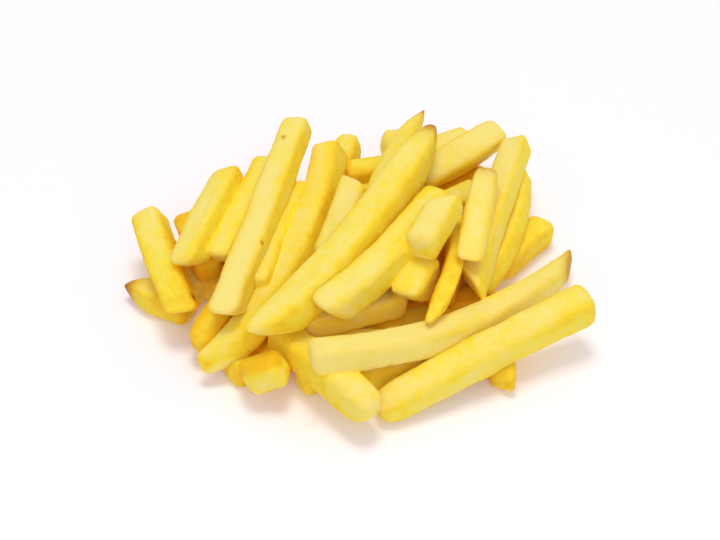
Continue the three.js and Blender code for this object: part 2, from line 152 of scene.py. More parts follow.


# Fries that show from the front. Right and up are millimetres from the middle of the front view.
# Painted shade: fries that lie in the shade of others, such as under_curl, front_peg, front_strip, chunk,
# low_tail, left_under, shade_right, back_cross and back_shade, have deeper tones.
SEEN = (
    Fry(
        "left_stub", 10.5, (-78, -5.5, 5), (-56.5, -12.5, 5), at_tail=End(0.3, 0.5, brown=0.8), roll=-6,
        tone=0.8, rise=-1,
    ),
    Fry(
        "under_curl", 9.5, (-43.5, -35, 4.5), (-36, -29, 5), at_tail=End(dome=0.6), tone=1.4,
        kind=Kind.CRISP_AND_SHADED,
    ),
    Fry("front_shade", 8, (-20.5, -38, 4), (-10, -33, 5), at_tail=End(dome=0.6), tone=0.9, kind=Kind.CRISP_AND_SHADED),
    Fry(
        "front_peg", 9.8, (45, -21.5, 4.5), (47.8, -38.3, 4.5), at_head=End(0.75, 0.5, slant=2.5), tone=1.5,
        kind=Kind.CRISP_AND_SHADED,
    ),
    Fry("right_end", 10, (45, 0.5, 5), (62, 14.5, 6), at_head=End(dome=0.9), tone=1),
    Fry("front_low", 9.3, (-2, -36.5, 6), (30, -27.5, 6), tone=0.8),
    Fry("front_strip", 8, (-43, -19, 5), (-23, -33, 4), tone=2.2, kind=Kind.CRISP_AND_SHADED),
    # Painted shade: chunk's top is darker than its sides, for the shade of the fries above it.
    Fry("chunk", 10.4, (-38.8, -36.5, 5.5), (-24.8, -32, 9), at_tail=End(slant=-2), tone=1.9, sides=-1.2),
    # Painted shade: front_kick's tail is more golden where the fries above it shade it.
    Fry(
        "front_kick", 11, (-28, -20, 11), (4.6, -47.8, 5.5), at_head=End(0.85, 0.2, dome=0.7), roll=-8,
        tone=0.7, rise=0.9, kind=Kind.PALE,
    ),
    Fry("low_tail", 10, (-40.5, -6.5, 10), (-53.8, -27, 5), at_head=End(0.75, 0.35, dome=0.6), tone=1.8),
    # Painted shade: left_prop's right side and its head are more golden where left_wide shades them.
    Fry(
        "left_prop", 10.6, (-70.8, 18.5, 17), (-58.8, -14.3, 9), at_head=End(slant=2, tilt=3.5, dome=0.2),
        roll=20, tone=0.7, sides=0.9, rise=-0.8,
        spots=(Scorch(0.9, 66, 1.6, 0.9), Scorch(0.42, -60, 0.7, 0.5)),
    ),
    Fry("left_under", 9.8, (-57.5, 17, 10), (-49.5, -1.5, 8), tone=1.8),
    Fry("shade_right", 9.3, (23.5, -16, 9), (45.5, -9.5, 9), tone=1.8),
    Fry("shade_end", 9.3, (-19.5, -18.3, 20), (14.5, -9.5, 16), at_tail=End(dome=0.9), tone=0.1, sides=0.2),
    Fry("under_slope", 8, (-20, 28, 19.5), (-34, -6.5, 16.5), roll=12, tone=0.7, sides=0.2),
    Fry(
        "long_slope", 10.3, (-9.7, 40.5, 19), (-47.3, -30, 8.5), middle=(-22.3, 2.7, 15.5),
        at_tail=End(dome=0.1), at_head=End(0.85, 0.2, slant=-7), roll=22, tone=0.6, sides=0.7,
    ),
    Fry("back_left", 9.6, (-30, 36, 22), (-46.5, 3.2, 18), at_head=End(tilt=3, dome=0.6), tone=0.7),
    Fry(
        "left_wide", 10.2, (-42.4, 32.5, 22), (-57.8, 1.4, 18), at_tail=End(0.9, 0.3, slant=-1.5, dome=0.9),
        at_head=End(tilt=3, dome=0.7), roll=22, tone=0.5, sides=0.7, rise=0.4,
    ),
    Fry(
        "left_long", 10.3, (-20.3, 49.5, 29), (-45.4, -15, 21), at_tail=End(0.9, 0.15),
        at_head=End(tilt=3.5, dome=0.6), roll=11, tone=0.15, sides=0.75, rise=0.3, kind=Kind.PALE,
        spots=(Scorch(0.66, 52, 0.7, 0.7), Scorch(0.13, -12, 0.7, 0.5)),
    ),
    Fry("back_stub", 9, (-2.5, 44.5, 15), (-8.5, 26.5, 8), at_tail=End(0.7, 0.3, dome=0.6), tone=0.7),
    Fry("back_cross", 9.8, (-5, 31, 14), (10.5, 33.5, 14), tone=1.3),
    Fry("back_flat", 9.3, (7.5, 41, 14), (18.5, 42.5, 14), at_tail=End(dome=0.15), tone=0.6),
    Fry("back_right_low", 9.3, (37, 43.5, 14), (20, 37.5, 15), at_tail=End(dome=0.6), tone=0.5),
    Fry(
        "mid_back", 10.6, (-1, 28, 26), (-10.5, 2.5, 22), at_tail=End(slant=3), roll=15, tone=0.4,
        kind=Kind.PALE,
    ),
    Fry("back_shade", 9.3, (43, 31, 11), (25, 21, 14), tone=1.9, kind=Kind.CRISP_AND_SHADED),
    # Painted shade: back_right's sides are deep gold for its shaded underside.
    Fry(
        "back_right", 11, (46.2, 46, 21), (19, 30.3, 24), at_tail=End(0.85, 0.3, dome=0.6), roll=-25,
        tone=0.2, sides=1, kind=Kind.PALE,
    ),
    Fry(
        "right_thin", 7.7, (53, 31.5, 14), (41, -5.5, 12), middle=(50.5, 13.3, 13),
        at_head=End(0.8, 0.3, slant=3), roll=30, tone=0.7, kind=Kind.CRISP_AND_SHADED,
    ),
    Fry(
        "right_long", 9.6, (52.5, 42, 20), (37, -5, 18), at_tail=End(slant=-1, dome=0.1),
        at_head=End(slant=6, dome=0.1), roll=20, tone=0.3, sides=0.7, kind=Kind.PALE,
    ),
    Fry(
        "gold_thin", 6.3, (32, 18, 24), (22.3, -18, 20), middle=(31, 0.5, 22), at_head=End(0.35, 0.35),
        tone=1.1, kind=Kind.CRISP_AND_SHADED,
    ),
    Fry("mid_stub", 11, (22, 3.5, 22), (15.5, -9.5, 20), at_head=End(tilt=2.5), tone=0.5, kind=Kind.PALE),
    # Painted shade: mid_long's tail is more golden where big_sweep shades it.
    Fry(
        "mid_long", 11.3, (27.5, 24.5, 31), (-12.3, -13.8, 25), middle=(9.4, 3.7, 28),
        at_head=End(tilt=3.5, dome=0.8), tone=0.6, rise=0.9, kind=Kind.PALE,
    ),
    Fry(
        "back_tip", 8.3, (21.3, 53.3, 23), (4.5, 21.5, 28), at_tail=End(0.1, 0.45, brown=0.5), roll=20,
        tone=0.6,
    ),
    # Painted shade: top_block's sides are more golden where they face away from the light.
    Fry(
        "top_block", 10.8, (29, 22.5, 39), (19.5, 6.5, 35), at_tail=End(slant=-3.5), at_head=End(dome=0.3),
        roll=12, tone=0.15, sides=0.8, kind=Kind.PALE,
    ),
    Fry(
        "big_sweep", 11.7, (24.3, 47.5, 36), (-31.5, -21.2, 24), middle=(1.5, 13.5, 30), roll=10, tone=0.45,
        at_tail=End(0.35, 0.3, brown=0.75), at_head=End(0.8, 0.1, slant=-3.5, tilt=3, dome=0.5), sides=0.6,
    ),
    Fry(
        "right_top", 9.2, (42.5, 32.5, 32), (36.4, 3.3, 27), at_tail=End(0.75, 0.35, dome=0.3, brown=0.35),
        at_head=End(tilt=4), roll=-2, tone=0.2, kind=Kind.PALE,
    ),
    Fry(
        "front_right", 10.8, (6, -47.2, 5.5), (76.8, -10.5, 12), at_tail=End(0.75, 0.2, dome=0.6),
        at_head=End(dome=0.5), tone=0.45, sides=0.3,
    ),
    Fry(
        "front_left", 9.6, (-16.7, -28.7, 22), (70, 2.2, 5), middle=(33.5, -19.5, 13.5),
        at_head=End(0.6, 0.35, slant=6.5, dome=0.1, brown=0.35), tone=0.1, sides=0.2, rise=-0.6,
        kind=Kind.PALE,
    ),
)

# Fries inside and behind the heap, which carry the others. Their deeper tones, and the orange crust of their
# sort, are painted shade for the crevices.
CARRIERS = (
    Fry("bed_left", 10, (-48, 18, 5), (-38, -24, 5)),
    Fry("prop_left", 9.5, (-62, 1, 5), (-46, -5, 5)),
    Fry("fill_left", 9.5, (-58, 10, 5), (-50, -14, 5)),
    Fry("bed_front", 10, (-24, -40, 5), (14, -34, 5)),
    Fry("bed_inner", 9, (-6, -26, 5), (28, -20, 5), tone=2.2),
    Fry("bed_mid", 10, (-38, -2, 5), (2, -10, 5), tone=2.2),
    Fry("bed_centre", 10, (-30, 14, 5), (12, 22, 5)),
    Fry("bed_back", 10, (-46, 28, 5), (-6, 38, 5)),
    Fry("bed_far", 9.5, (0, 47, 5), (36, 44, 5)),
    Fry("bed_right", 9.5, (47, 38, 5), (48, -12, 5)),
    Fry("bed_east", 10, (14, -4, 5), (38, 26, 5)),
    Fry("bed_south", 10, (26, -34, 5), (46, -18, 5)),
    Fry("rim_back", 9, (14, 58, 5), (40, 56, 5), at_tail=End(dome=0.5), at_head=End(dome=0.5)),
    Fry("tier_mid", 10, (-18, -28, 14), (-6, 12, 14), tone=1.2),
    Fry("tier_right", 9.5, (28, -20, 14), (34, 18, 14), tone=2.2),
    Fry("tier_back", 9.5, (-12, 34, 14), (22, 38, 14)),
    Fry("tier_far", 9, (8, 18, 14), (40, 34, 14)),
    Fry("upper_mid", 10, (-14, 2, 23), (22, 14, 23), tone=0.8),
    Fry("upper_east", 9.5, (4, -16, 22), (34, -4, 22), tone=2.2),
)
HIDDEN = tuple(replace(fry, kind=Kind.UNDER) for fry in CARRIERS)


@dataclass(frozen=True)
class FrontView:
    """The viewpoint that the seen fries were measured from, in front of the heap and above it.

    Attributes:
        centre: The point that it looks at, in mm.
        distance: How far away it is, in mm.
        elevation: Its angle above the surface, in degrees.
    """

    centre: Point = (0.0, -7.5, 15.0)
    distance: float = 567.0
    elevation: float = 45.0

    def eye(self) -> np.ndarray:
        """Returns the viewpoint itself."""
        angle = math.radians(self.elevation)
        return np.array(self.centre) + self.distance * np.array((0, -math.cos(angle), math.sin(angle)))

    def point(self, seen: Point) -> np.ndarray:
        """Finds a point in the heap from where the front view shows it.

        Args:
            seen: Right and up from the middle of the view, and the height over the surface, in mm.

        Returns:
            The point's x, y and z.
        """
        right, up, height = seen
        angle = math.radians(self.elevation)
        on_plane = np.array(self.centre) + np.array((right, up * math.sin(angle), up * math.cos(angle)))
        eye = self.eye()
        ray = on_plane - eye
        return eye + ray * (height - eye[2]) / ray[2]


VIEW = FrontView()

# ---- how the heap settles

HALVES = ((0, 1), (1, 2))  # the joints at the two ends of each half of a fry
PARALLEL = 1e-9  # a spread between two directions below this counts as none
NO_LENGTH = 1e-6  # no length is divided by when it is less than this


def closest_shares(
    a0: np.ndarray, a1: np.ndarray, b0: np.ndarray, b1: np.ndarray
) -> tuple[np.ndarray, np.ndarray]:
    """Finds where pairs of straight lines come closest.

    Args:
        a0: Starts of the first lines, one row each.
        a1: Ends of the first lines.
        b0: Starts of the second lines.
        b1: Ends of the second lines.

    Returns:
        The shares along the first and along the second lines.
    """
    along, across, gap = a1 - a0, b1 - b0, a0 - b0
    a, e, b = (along * along).sum(1), (across * across).sum(1), (along * across).sum(1)
    c, f = (along * gap).sum(1), (across * gap).sum(1)
    spread = a * e - b * b
    crossing = spread > PARALLEL
    first = np.where(crossing, np.clip((b * f - c * e) / np.where(crossing, spread, 1), 0, 1), 0.5)
    free = (b * first + f) / e
    second = np.clip(free, 0, 1)
    return np.where(second == free, first, np.clip((b * second - c) / a, 0, 1)), second


@dataclass
class Settling:
    """Lets fries slide and sink until they carry each other. Each round moves every fry a little.

    Attributes:
        rounds: How many rounds there are.
        sink: The drop in the first rounds, in mm.
        squash: Share of its half width at which a fry touches another.
        hold: Share of the way back to its first place, each round.
        sight_hold: Share of a sideways slip, as seen from the front, that is undone.
        shape_hold: Share of a change of bend that is undone.
        length_hold: Share of a change of length that is undone.
        width: The fries' widths, in mm.
        start: The joints where they start.
        length: Their lengths there, from tail to head.
        sight: The directions in which the front view sees the joints of the seen ones.
    """

    rounds: int = 220
    sink: float = 0.14
    squash: float = 0.94
    hold: float = 0.012
    sight_hold: float = 0.7
    shape_hold: float = 0.25
    length_hold: float = 0.15
    width: np.ndarray = field(init=False)
    start: np.ndarray = field(init=False)
    length: np.ndarray = field(init=False)
    sight: np.ndarray = field(init=False)

    def place(self, seen: tuple[Fry, ...], hidden: tuple[Fry, ...]) -> np.ndarray:
        """Places all the fries.

        Args:
            seen: The fries that were measured from the front view.
            hidden: The fries whose places are given outright.

        Returns:
            The tail, middle and head of every fry's axis, in mm.
        """
        fries = seen + hidden
        self.width = np.array([fry.width for fry in fries])
        self.start = np.array(
            [self.first_joints(fry, number < len(seen)) for number, fry in enumerate(fries)]
        )
        self.length = np.linalg.norm(self.start[:, 2] - self.start[:, 0], axis=1)
        sight = self.start[: len(seen)] - VIEW.eye()
        self.sight = sight / np.linalg.norm(sight, axis=2, keepdims=True)
        joints = self.start.copy()
        for step in range(self.rounds):
            joints[:, :, 2] -= self.sink * min(1, 2 * (1 - step / self.rounds))
            self.push_apart(joints)
            self.hold_on(joints)
        return joints

    @staticmethod
    def first_joints(fry: Fry, is_seen: bool) -> list[np.ndarray]:
        """Returns the tail, middle and head where a fry starts, given whether it shows from the front."""
        middle = fry.middle or tuple((a + b) / 2 for a, b in zip(fry.tail, fry.head))
        places = (fry.tail, middle, fry.head)
        return [VIEW.point(place) if is_seen else np.array(place, float) for place in places]

    def push_apart(self, joints: np.ndarray) -> None:
        """Moves the joints of fries that run into each other apart, half of the overlap each."""
        one, other = np.triu_indices(len(joints), 1)
        radius = self.width / 2 * self.squash
        push, weight = np.zeros_like(joints), np.zeros(joints.shape[:2])
        for a0, a1 in HALVES:
            for b0, b1 in HALVES:
                from_one, to_one = joints[one, a0], joints[one, a1]
                from_other, to_other = joints[other, b0], joints[other, b1]
                first, second = closest_shares(from_one, to_one, from_other, to_other)
                near = from_one + first[:, None] * (to_one - from_one)
                gap = near - from_other - second[:, None] * (to_other - from_other)
                distance = np.linalg.norm(gap, axis=1)
                overlap = np.maximum(radius[one] + radius[other] - distance, 0)
                step = gap * (overlap / 2 / np.maximum(distance, NO_LENGTH))[:, None]
                touching = overlap > 0
                for fry, joint, share, sign in (
                    (one, a0, 1 - first, 1), (one, a1, first, 1),
                    (other, b0, 1 - second, -1), (other, b1, second, -1),
                ):
                    np.add.at(push, (fry, joint), sign * step * share[:, None])
                    np.add.at(weight, (fry, joint), share * touching)
        joints += push / np.maximum(weight, 1)[:, :, None]

    def hold_on(self, joints: np.ndarray) -> None:
        """Moves the joints back towards each fry's shape, length and place in the front view.

        Args:
            joints: The fries' joints, which also stay above the surface.
        """
        bend = self.start[:, 1] - (self.start[:, 0] + self.start[:, 2]) / 2
        error = (bend - joints[:, 1] + (joints[:, 0] + joints[:, 2]) / 2) * self.shape_hold
        joints += np.stack((-error / 2, error, -error / 2), axis=1)
        reach = joints[: len(self.sight)] - VIEW.eye()
        depth = (reach * self.sight).sum(2, keepdims=True)
        joints[: len(self.sight)] -= self.sight_hold * (reach - depth * self.sight)
        joints += self.hold * (self.start - joints)
        span = joints[:, 2] - joints[:, 0]
        long = np.linalg.norm(span, axis=1)
        change = span * (self.length_hold * (long - self.length) / long / 2)[:, None]
        joints[:, 0] += change
        joints[:, 2] -= change
        joints[:, :, 2] = np.maximum(joints[:, :, 2], self.width[:, None] / 2)


# ---- the shape of one fry


FIRST_SEED = 1000  # the seed of the first fry's draws
SAME_LENGTH = 1e-3  # two lengths that differ by less than this share are the same
COUNTED_LENGTH = 60  # mm of fry that the numbers of dents and blisters are for
GRAIN_SHIFT = 100  # the most that the grain's noise is shifted along each axis
LONG_SHARE = 0.65  # what the long wave adds to a swing
SHORT_SHARE = 0.35  # what the short wave adds


@dataclass(frozen=True)
class Marks:
    """Dents or blisters of one sort.

    Attributes:
        count: How many there are on COUNTED_LENGTH of fry.
        reach: The least and the greatest radius, in mm.
        height: The least and the most that one stands out, in mm, which is below 0 for a dent.
    """

    count: int
    reach: tuple[float, float]
    height: tuple[float, float]


@dataclass
class FryShape:
    """Turns one row of the table into a mesh: a block that is made uneven, cut and bent.

    Attributes:
        cell: Size of the mesh's faces on the flat sides, in mm.
        edge_round: How far the long edges are rounded, as a share of the half width.
        edge_segments: Faces round each long edge.
        roll_range: The most that a fry turns about its own axis, in degrees.
        roll_step: Radians of the sine wave from one fry to the next.
        taper: The most that a fry narrows or widens from tail to head, as a share.
        ripple: How far the width swells and shrinks along a fry, as a share.
        ripple_spans: The long and the short wave of the width, in mm.
        crown: How far a side stands out or sinks in at its middle, in mm.
        crown_spans: The long and the short wave of a side, in mm.
        marks: The broad shallow dents and the small raised blisters.
        core_share: Size of the inner block that the relief stands out from, as a share of the half width.
        grain: How far the crust's fine unevenness stands out, in mm.
        grain_scale: The grain's scale along, across and up the fry, for each mm.
        twist: The most that a fry is twisted from tail to head, in degrees.
        bow: How far the middle of a straight fry is bowed at most, as a share of its length.
        skew: The most that a section leans over, as a share of its height.
        cut_reach: How far from its end a fry is drawn out by a slant or tilt, in mm.
        cut_tilt: The most that an end tilts beyond its row, in mm.
        dome_reach: How far from its end a fry is domed, in widths.
        bulge: The most that an end stands out or sinks in at its middle, in mm.
        own_step: How far apart two fries lie in the crust's patterns, in mm.
        tone_swing: The most that a fry's tone differs from its row.
        edge_tone: How much more golden the long edges are than the middle of each side.
        edge_mean: What is taken off the edges' share, so that a whole side keeps about its tone.
        rim: How deep gold the rim of an end is, as a share of a long edge.
        rim_reach: How far from the end the rim fades, in mm.
        brown_reach: How far from the end the brown fades, in mm.
    """

    cell: float = 0.9
    edge_round: float = 0.44
    edge_segments: int = 5
    roll_range: float = 9.0
    roll_step: float = 2.4
    taper: float = 0.05
    ripple: float = 0.035
    ripple_spans: tuple[float, float] = (34, 17)
    crown: float = 0.22
    crown_spans: tuple[float, float] = (28, 13)
    marks: tuple[Marks, ...] = (Marks(7, (3.0, 6.5), (-0.4, -0.1)), Marks(14, (0.9, 1.9), (0.08, 0.26)))
    core_share: float = 0.4
    grain: float = 0.2
    grain_scale: Point = (0.45, 0.7, 0.7)
    twist: float = 8.0
    bow: float = 0.015
    skew: float = 0.1
    cut_reach: float = 9.0
    cut_tilt: float = 0.9
    dome_reach: float = 1.5
    bulge: float = 0.5
    own_step: Point = (37.0, 11.0, 0.0)
    tone_swing: float = 0.08
    edge_tone: float = 0.4
    edge_mean: float = 0.2
    rim: float = 0.5
    rim_reach: float = 1.6
    brown_reach: float = 2.2

    def build(self, fry: Fry, joints: np.ndarray, number: int) -> bpy.types.Object:
        """Makes one fry.

        Args:
            fry: Its row in the table.
            joints: The tail, middle and head of its settled axis, in mm.
            number: Its place in the table, which seeds its own unevenness.

        Returns:
            A mesh object in metres, with its attributes for the crust.
        """
        draw = random.Random(FIRST_SEED + number)
        length = float(np.linalg.norm(joints[2] - joints[0]))
        mesh = self.block(fry, length)
        flat = read_points(mesh)
        share = flat[:, 0] / length + 0.5
        across = flat[:, 1:] / (fry.width / 2)
        self.mark(mesh, fry, flat, share, across, draw, number)
        shaped = self.swell(fry, flat, share, draw)
        shaped = self.relief(fry, shaped, length, draw)
        shaped = self.cut_ends(fry, shaped, share, across, length, draw)
        roll = self.roll_range * math.sin(number * self.roll_step) if fry.roll is None else fry.roll
        rolls = np.radians(roll + draw.uniform(-self.twist, self.twist) * (share - 0.5))
        if fry.middle is None:
            joints = joints.copy()
            joints[1] += [draw.uniform(-self.bow, self.bow) * length for _ in range(3)]
        placed = self.bend(shaped, share, joints, rolls)
        placed[:, 2] = np.maximum(placed[:, 2], 0)
        write_points(mesh, placed * MM)
        mesh.shade_smooth()
        return place_object(fry.name, mesh)

    def block(self, fry: Fry, length: float) -> bpy.types.Mesh:
        """Makes the straight block, cut into small faces.

        Args:
            fry: The fry's row.
            length: Its length in mm.

        Returns:
            A mesh in mm along X, centred.
        """
        block = bmesh.new()
        bmesh.ops.create_cube(block, size=1)
        bmesh.ops.scale(block, vec=(length, fry.width, fry.width), verts=block.verts)
        rounding = self.edge_round * fry.width / 2
        bmesh.ops.bevel(
            block, geom=block.edges[:], offset=rounding, offset_type="OFFSET", affect="EDGES",
            segments=self.edge_segments, profile=0.5, material=-1,
        )
        for span in (length - 2 * rounding, fry.width - 2 * rounding):
            edges = [edge for edge in block.edges if abs(edge.calc_length() - span) < SAME_LENGTH * span]
            cells = max(round(span / self.cell), 2)
            bmesh.ops.subdivide_edges(block, edges=edges, cuts=cells - 1, use_grid_fill=True)
        return close_mesh(fry.name, block)

    def mark(
        self, mesh: bpy.types.Mesh, fry: Fry, flat: np.ndarray, share: np.ndarray, across: np.ndarray,
        draw: random.Random, number: int,
    ) -> None:
        """Writes what the crust's material reads: its own place, its tone, which carries painted shade on
        the sides and along the fry, and where it is browned.

        Args:
            mesh: The fry's mesh.
            fry: Its row.
            flat: The straight block's points, in mm.
            share: Each point's share of the way from tail to head.
            across: Each point's place in the section, from -1 to 1.
            draw: This fry's random draws.
            number: The fry's place in the table.
        """
        own = flat + np.array(self.own_step) * number
        length = flat[:, 0].max() * 2
        from_end = np.minimum(share, 1 - share) * length
        # 1 along the four long edges and 0 along the middle of each side.
        ridge = np.clip(np.abs(across[:, 0] * across[:, 1]), 0, 1)
        rim = self.rim * np.exp(-((from_end / self.rim_reach) ** 2)) * np.abs(across).max(axis=1) ** 4
        brown = fry.at_tail.brown * np.exp(-share * length / self.brown_reach)
        brown += fry.at_head.brown * np.exp(-(1 - share) * length / self.brown_reach)
        for spot in fry.spots:
            turn = math.radians(spot.turn)
            side = np.array((math.sin(turn), math.cos(turn)))
            centre = np.array(((spot.share - 0.5) * length, *(side / np.abs(side).max() * fry.width / 2)))
            brown += spot.brown * np.exp(-(((flat - centre) / spot.reach) ** 2).sum(axis=1))
        # 1 on the left and the right side, 0 on the top and the underside.
        sideways = np.clip((np.abs(across[:, 0]) - np.abs(across[:, 1])) * 2 + 0.5, 0, 1)
        tone = fry.tone + draw.uniform(-self.tone_swing, self.tone_swing)
        # Painted shade: the sides, and one end of some fries, are made more golden where less light reaches
        # them.
        tone = tone + fry.sides * sideways + fry.rise * (0.5 - share)
        tone += self.edge_tone * (ridge**2 - self.edge_mean)
        write_attribute(mesh, "own", own)
        write_attribute(mesh, "tone", tone)
        write_attribute(mesh, "edge", np.clip(ridge**3 + rim, 0, 1))
        write_attribute(mesh, "brown", np.clip(brown, 0, 1))

    def swell(self, fry: Fry, flat: np.ndarray, share: np.ndarray, draw: random.Random) -> np.ndarray:
        """Makes the section uneven along the fry: its two widths, its four sides and its tips.

        Args:
            fry: The fry's row.
            flat: The straight block's points, in mm.
            share: Each point's share of the way from tail to head.
            draw: This fry's random draws.

        Returns:
            The moved points.
        """
        shaped = flat.copy()
        half = fry.width / 2
        along = flat[:, 0]
        tips = tip_scale(fry.at_tail, share) * tip_scale(fry.at_head, 1 - share)
        taper = 1 + draw.uniform(-self.taper, self.taper) * (share - 0.5)
        for axis, other in ((1, 2), (2, 1)):
            ripple = 1 + self.ripple * wave(along, draw, self.ripple_spans)
            for side in (-1, 1):
                stands = self.crown * (0.5 + wave(along, draw, self.crown_spans))
                # All of it at the middle of this side, and nothing at its edges or on the others.
                facing = np.clip(side * flat[:, axis] / half, 0, 1) ** 6
                middle = np.clip(1 - (flat[:, other] / half) ** 2, 0, 1)
                shaped[:, axis] += side * stands * facing * middle
            shaped[:, axis] *= ripple * taper * tips
        shaped[:, 1] += draw.uniform(-self.skew, self.skew) * shaped[:, 2]
        return shaped

    def relief(self, fry: Fry, shaped: np.ndarray, length: float, draw: random.Random) -> np.ndarray:
        """Adds dents, blisters and the crust's grain.

        Args:
            fry: The fry's row.
            shaped: The points, in mm.
            length: The fry's length.
            draw: This fry's random draws.

        Returns:
            The moved points.
        """
        half = fry.width / 2
        inside = np.array((length / 2 - half, half * self.core_share, half * self.core_share))
        out = shaped - np.clip(shaped, -inside, inside)
        out /= np.maximum(np.linalg.norm(out, axis=1, keepdims=True), NO_LENGTH)
        rise = np.zeros(len(shaped))
        for marks in self.marks:
            for _ in range(round(marks.count * length / COUNTED_LENGTH)):
                turn = draw.uniform(0, 2 * math.pi)
                side = np.array((math.cos(turn), math.sin(turn)))
                side *= half / np.abs(side).max()
                centre = np.array((draw.uniform(-0.5, 0.5) * length, *side))
                wide, high = draw.uniform(*marks.reach), draw.uniform(*marks.height)
                rise += high * np.exp(-(((shaped - centre) / wide) ** 2).sum(axis=1))
        shift = Vector([draw.uniform(0, GRAIN_SHIFT) for _ in range(3)])
        fine = (shaped * np.array(self.grain_scale)).tolist()
        grain = np.array([noise.noise(Vector(point) + shift) for point in fine])
        return shaped + out * (rise + self.grain * grain)[:, None]

    def cut_ends(
        self, fry: Fry, shaped: np.ndarray, share: np.ndarray, across: np.ndarray, length: float,
        draw: random.Random,
    ) -> np.ndarray:
        """Slants, domes and roughens both ends.

        Args:
            fry: The fry's row.
            shaped: The points, in mm.
            share: Each point's share of the way from tail to head.
            across: Each point's place in the section, from -1 to 1.
            length: The fry's length.
            draw: This fry's random draws.

        Returns:
            The moved points.
        """
        cut = shaped.copy()
        rounding = 1 - np.sqrt(1 - np.minimum(np.abs(across), 1) ** 2)
        drop = fry.width / 4 * rounding.sum(axis=1)
        inward = 1 - np.minimum(np.abs(across).max(axis=1), 1)
        for end, reach, sign in ((fry.at_tail, share, -1), (fry.at_head, 1 - share, 1)):
            near = np.clip(1 - reach / min(0.5, (self.cut_reach + abs(end.slant)) / length), 0, 1)
            domed = np.clip(1 - reach * length / (self.dome_reach * fry.width), 0, 1) ** 2
            tilt = end.tilt + draw.uniform(-self.cut_tilt, self.cut_tilt)
            cut[:, 0] += near * (end.slant * across[:, 0] + tilt * across[:, 1])
            cut[:, 0] -= sign * end.dome * drop * domed
            cut[:, 0] += sign * near**8 * draw.uniform(-self.bulge, self.bulge) * inward
        return cut

    @staticmethod
    def bend(shaped: np.ndarray, share: np.ndarray, joints: np.ndarray, rolls: np.ndarray) -> np.ndarray:
        """Lays the straight fry along its settled axis.

        Args:
            shaped: The points of the straight fry, in mm.
            share: Each point's share of the way from tail to head.
            joints: The tail, middle and head of the axis.
            rolls: How far each point turns about the axis, in radians.

        Returns:
            The points in the heap, in mm.
        """
        tail, middle, head = joints
        pull = 2 * middle - (tail + head) / 2
        t = share[:, None]
        centre = (1 - t) ** 2 * tail + 2 * t * (1 - t) * pull + t**2 * head
        along = 2 * (1 - t) * (pull - tail) + 2 * t * (head - pull)
        along /= np.linalg.norm(along, axis=1, keepdims=True)
        left = np.cross((0.0, 0.0, 1.0), along)
        left /= np.linalg.norm(left, axis=1, keepdims=True)
        top = np.cross(along, left)
        leftward = shaped[:, 1] * np.cos(rolls) - shaped[:, 2] * np.sin(rolls)
        upward = shaped[:, 1] * np.sin(rolls) + shaped[:, 2] * np.cos(rolls)
        ahead = shaped[:, 0] - (share - 0.5) * np.linalg.norm(head - tail)
        return centre + left * leftward[:, None] + top * upward[:, None] + along * ahead[:, None]


def tip_scale(end: End, share: np.ndarray) -> np.ndarray:
    """Returns how much of its section a fry keeps near an end, by the share of its length from there."""
    q = np.clip(share / end.reach, 0, 1)
    return end.left + (1 - end.left) * q * (2 - q)


def wave(along: np.ndarray, draw: random.Random, spans: tuple[float, float]) -> np.ndarray:
    """Makes a smooth uneven swing between about -1 and 1.

    Args:
        along: Where it is wanted, in mm.
        draw: The random draws for its phases.
        spans: The long and the short wave's length, in mm.

    Returns:
        The swing at each place.
    """
    long, short = spans
    swing = LONG_SHARE * np.sin(2 * math.pi * (along / long + draw.random()))
    return swing + SHORT_SHARE * np.sin(2 * math.pi * (along / short + draw.random()))


def read_points(mesh: bpy.types.Mesh) -> np.ndarray:
    """Returns a mesh's points, one row each."""
    flat = np.empty(3 * len(mesh.vertices), np.float32)
    mesh.vertices.foreach_get("co", flat)
    return flat.reshape(-1, 3).astype(float)


def write_points(mesh: bpy.types.Mesh, points: np.ndarray) -> None:
    """Moves a mesh's points to the given rows."""
    mesh.vertices.foreach_set("co", points.astype(np.float32).ravel())
    mesh.update()


def write_attribute(mesh: bpy.types.Mesh, name: str, values: np.ndarray) -> None:
    """Stores one number or row of three for each point of a mesh, under the given name."""
    kind, key = ("FLOAT", "value") if values.ndim == 1 else ("FLOAT_VECTOR", "vector")
    attribute = mesh.attributes.new(name, kind, "POINT")
    attribute.data.foreach_set(key, values.astype(np.float32).ravel())


def close_mesh(name: str, shape: bmesh.types.BMesh) -> bpy.types.Mesh:
    """Turns a finished shape into a mesh of the given name."""
    mesh = bpy.data.meshes.new(name)
    shape.to_mesh(mesh)
    shape.free()
    return mesh


def place_object(name: str, data: bpy.types.ID) -> bpy.types.Object:
    """Puts a mesh, lamp or camera into the scene under the given name."""
    piece = bpy.data.objects.new(name, data)
    bpy.context.scene.collection.objects.link(piece)
    return piece


# ---- finishes


def linear(code: str) -> tuple[float, float, float, float]:
    """Turns an sRGB hex colour, such as "#ffcc00", into a linear one with an alpha of 1."""
    shares = [int(code[start : start + 2], 16) / 255 for start in (1, 3, 5)]
    curve = [share / 12.92 if share <= 0.04045 else ((share + 0.055) / 1.055) ** 2.4 for share in shares]
    return (*curve, 1.0)


def add_node(
    tree: Tree, kind: str, inputs: dict[str | int, object] | None = None, **settings: object
) -> bpy.types.Node:
    """Adds one node with its settings and links.

    Args:
        tree: The node tree.
        kind: The node's type name.
        inputs: For each input, by name or number, a value or the output that feeds it.
        settings: The node's own settings.

    Returns:
        The node.
    """
    node = tree.nodes.new(kind)
    for name, value in settings.items():
        setattr(node, name, value)
    for key, value in (inputs or {}).items():
        if isinstance(value, Socket):
            tree.links.new(value, node.inputs[key])
        else:
            node.inputs[key].default_value = value
    return node


